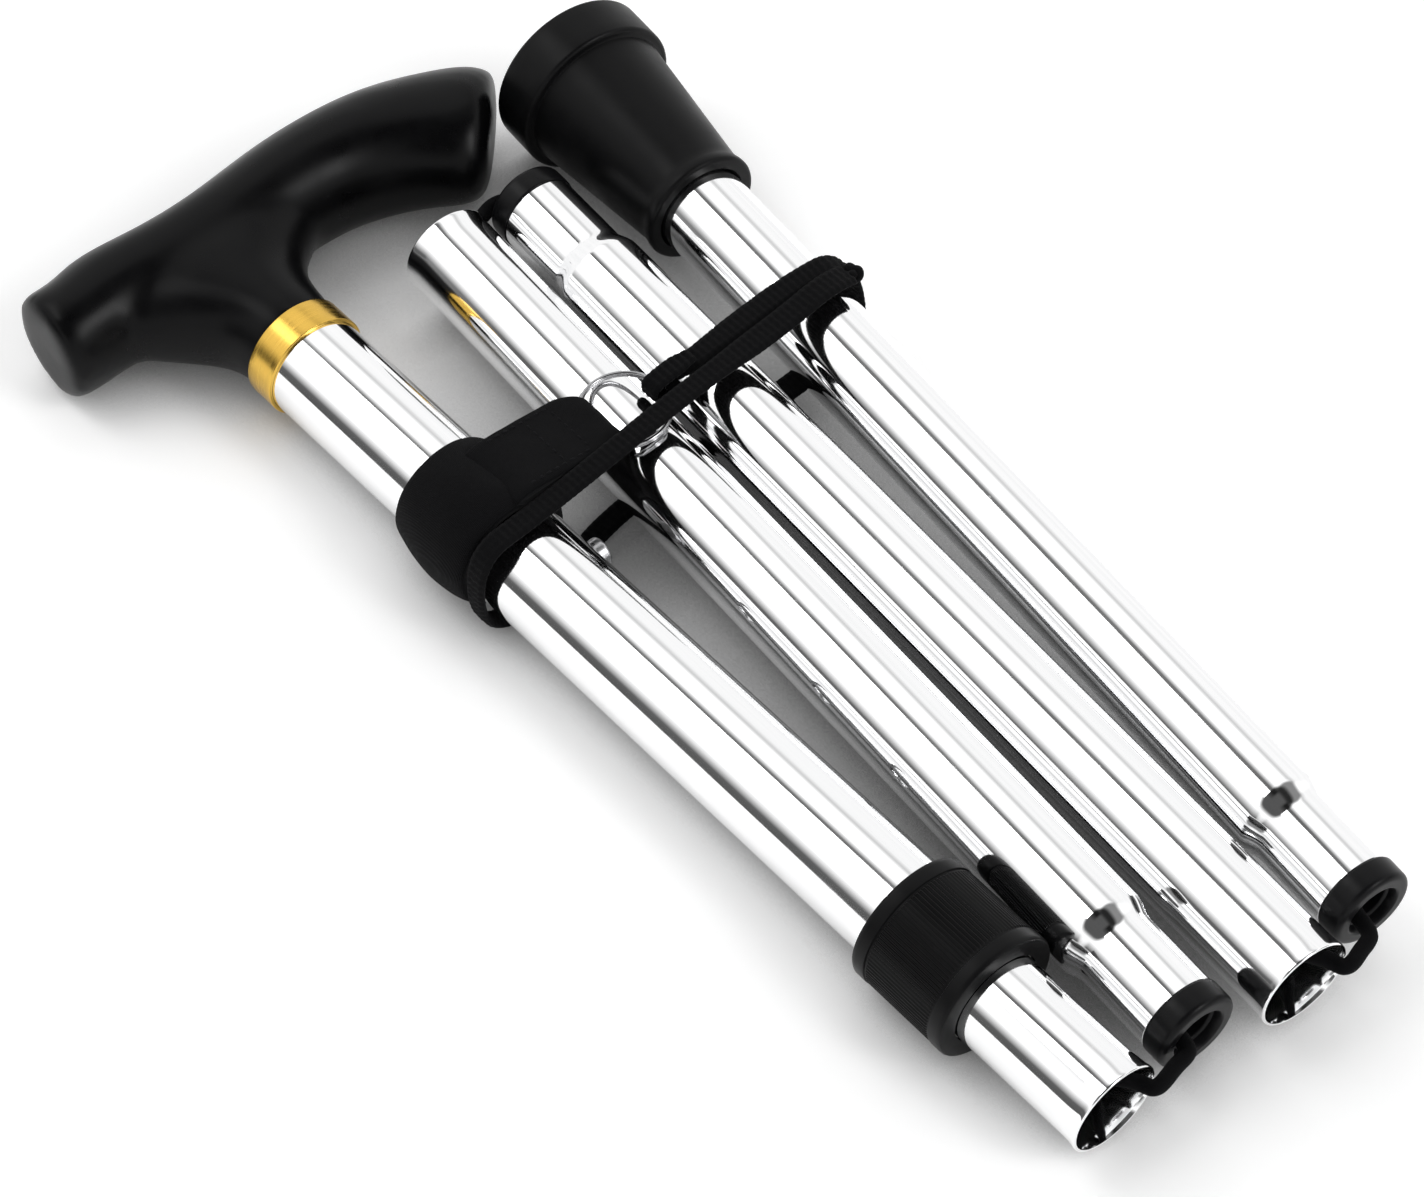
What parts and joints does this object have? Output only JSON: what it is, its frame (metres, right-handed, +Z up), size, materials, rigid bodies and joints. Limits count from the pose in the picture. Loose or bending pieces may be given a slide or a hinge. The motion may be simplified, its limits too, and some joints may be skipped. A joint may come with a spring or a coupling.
{
  "type": "folding walking cane",
  "caption": "Folding walking cane with a derby handle, twist-lock height tube, corded plug-in sections, rubber ferrule and wrist strap, stored folded.",
  "frame": {"origin": "on the floor, under the middle of the folded cane's bounding box, without its wrist cord", "axes": "+X along the handle tube from the handle towards the folds, +Y from the handle tube across the other sections, +Z up"},
  "size_m": [0.2916, 0.1462, 0.0372],
  "materials": {
    "handle_plastic": "satin black moulding",
    "gold_trim": "satin gold anodised",
    "polished_aluminium": "mirror polished",
    "white_nylon": "moulded",
    "collar_plastic": "satin black, knurled",
    "spring_steel": "plain",
    "button_steel": "polished",
    "elastic": "braided cover",
    "ring_plastic": "satin black",
    "washer_steel": "plain",
    "tip_rubber": "matte moulded",
    "strap_fabric": "woven, stitched",
    "ring_steel": "plated",
    "cord_fabric": "flat braid"
  },
  "bodies": {
    "handle_section": {"handle": "handle_plastic", "collar_ring": "gold_trim", "outer_tube": "polished_aluminium", "lock_bush": "white_nylon", "strap_sleeve": "strap_fabric", "strap_loop": "strap_fabric", "split_ring": "ring_steel", "cord_hitch": "cord_fabric", "wrist_cord": "cord_fabric", "cord_knot": "cord_fabric"},
    "lock_collar": {"lock_collar": "collar_plastic"},
    "inner_section": {"inner_tube": "polished_aluminium", "snap_spring": "spring_steel", "upper_anchor": "white_nylon", "elastic_inner": "elastic"},
    "snap_button": {"snap_button": "button_steel"},
    "fold_link_1": {"elastic_bend_1": "elastic"},
    "section_b": {"middle_tube_1": "polished_aluminium", "end_ring_1": "ring_plastic", "elastic_1": "elastic"},
    "fold_link_2": {"elastic_bend_2": "elastic"},
    "section_c": {"middle_tube_2": "polished_aluminium", "end_ring_2": "ring_plastic", "elastic_2": "elastic"},
    "fold_link_3": {"elastic_bend_3": "elastic"},
    "section_d": {"tip_tube": "polished_aluminium", "end_ring_3": "ring_plastic", "elastic_3": "elastic", "lower_anchor": "white_nylon", "tip_washer": "washer_steel", "ferrule": "tip_rubber"}
  },
  "joints": [
    {"name": "height_slide", "type": "slide", "parent": "handle_section", "child": "inner_section", "axis": [1, 0, 0], "range_m": [0, 0.075], "deforming": ["snap_button", "snap_spring", "wrist_cord", "cord_knot", "cord_hitch"]},
    {"name": "lock_collar_turn", "type": "hinge", "parent": "handle_section", "child": "lock_collar", "pos_m": [0.08201, -0.03421, 0.01402], "axis": [1, 0, 0], "range_deg": [0, 120]},
    {"name": "button_press", "type": "slide", "parent": "inner_section", "child": "snap_button", "axis": [0, -0.9989, -0.0472], "range_m": [0, 0.0034], "stiffness_N_per_m": 400, "springref_m": -0.001},
    {"name": "fold_1", "type": "hinge", "parent": "inner_section", "child": "fold_link_1", "pos_m": [0.13731, -0.02337, 0.01454], "axis": [0, 0.0472, -0.9989], "range_deg": [0, 175.81], "deforming": ["elastic_bend_1", "wrist_cord", "cord_knot", "cord_hitch"]},
    {"name": "plug_1", "type": "slide", "parent": "fold_link_1", "child": "section_b", "axis": [0.9973, -0.0729, -0.0034], "range_m": [0, 0.02715], "deforming": ["elastic_bend_1"]},
    {"name": "fold_2", "type": "hinge", "parent": "section_b", "child": "fold_link_2", "pos_m": [-0.09955, 0.01499, 0.01635], "axis": [0, -0.0472, 0.9989], "range_deg": [0, 179.64], "deforming": ["elastic_bend_2"]},
    {"name": "plug_2", "type": "slide", "parent": "fold_link_2", "child": "section_c", "axis": [-0.9978, 0.0667, 0.0032], "range_m": [0, 0.02538], "deforming": ["elastic_bend_2"]},
    {"name": "fold_3", "type": "hinge", "parent": "section_c", "child": "fold_link_3", "pos_m": [0.14288, 0.01904, 0.01654], "axis": [0, 0.0472, -0.9989], "range_deg": [0, 178.2], "deforming": ["elastic_bend_3"]},
    {"name": "plug_3", "type": "slide", "parent": "fold_link_3", "child": "section_d", "axis": [0.9952, -0.098, -0.0046], "range_m": [0, 0.02988], "deforming": ["elastic_bend_3"]}
  ],
  "couplings": [
    {"joint": "fold_2", "follows": "fold_1", "ratio": 1.0218},
    {"joint": "plug_2", "follows": "plug_1", "ratio": 0.93473},
    {"joint": "fold_3", "follows": "fold_1", "ratio": 1.0136},
    {"joint": "plug_3", "follows": "plug_1", "ratio": 1.1007}
  ]
}
